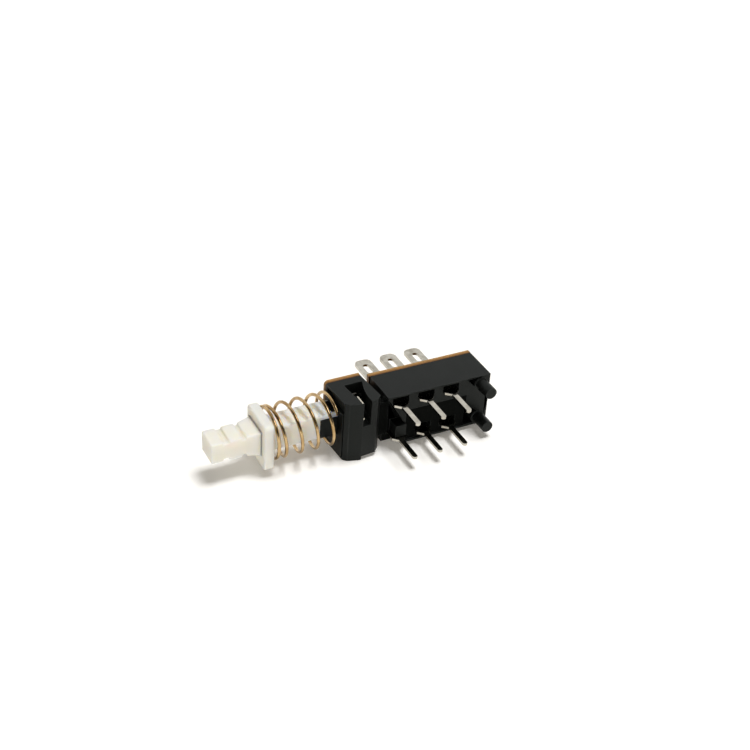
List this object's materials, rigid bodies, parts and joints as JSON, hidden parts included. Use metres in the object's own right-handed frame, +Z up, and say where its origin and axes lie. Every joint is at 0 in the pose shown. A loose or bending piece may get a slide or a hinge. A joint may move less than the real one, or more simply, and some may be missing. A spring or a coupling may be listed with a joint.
{
  "type": "pushbutton switch",
  "caption": "Latching push switch with a square nylon plunger and return spring, slide contacts in a black moulded housing, circuit-board pins, solder tags and locating pegs.",
  "frame": {"origin": "on the surface the switch lies on, under the button's axis, midway along the front block", "axes": "+X along the button's travel into the housing, -Y along the pins and locating pegs, +Z up from the surface it lies on"},
  "size_m": [0.0521, 0.0211, 0.0121],
  "materials": {
    "housing_black": "satin moulded black",
    "phenolic_tan": "punched paper phenolic",
    "terminal_silver": "silver-plated brass",
    "nylon_white": "natural nylon",
    "contact_brass": "plain",
    "spring_gold": "drawn wire",
    "spring_steel": "drawn wire and strip"
  },
  "bodies": {
    "housing": {"housing": "housing_black", "terminal_board": "phenolic_tan", "upper_terminal_1": "terminal_silver", "upper_terminal_2": "terminal_silver", "upper_terminal_3": "terminal_silver", "lower_terminal_1": "terminal_silver", "lower_terminal_2": "terminal_silver", "lower_terminal_3": "terminal_silver", "lock_spring": "spring_steel", "return_spring": "spring_gold"},
    "button": {"button": "nylon_white", "contact_slider": "housing_black", "upper_contact": "contact_brass", "lower_contact": "contact_brass", "upper_contact_spring": "spring_steel", "lower_contact_spring": "spring_steel"},
    "lock_pin": {"lock_pin": "spring_steel"}
  },
  "joints": [
    {"name": "button_push", "type": "slide", "parent": "housing", "child": "button", "axis": [1, 0, 0], "range_m": [0, 0.005], "stiffness_N_per_m": 300, "springref_m": -0.004, "deforming": ["return_spring"]},
    {"name": "lock_pin_swing", "type": "hinge", "parent": "housing", "child": "lock_pin", "pos_m": [-0.001, 0, 0.01015], "axis": [1, 0, 0], "range_deg": [-26, 0]}
  ],
  "couplings": [
    {"joint": "lock_pin_swing", "follows": "button_push", "rad_per_m": -78.958}
  ]
}
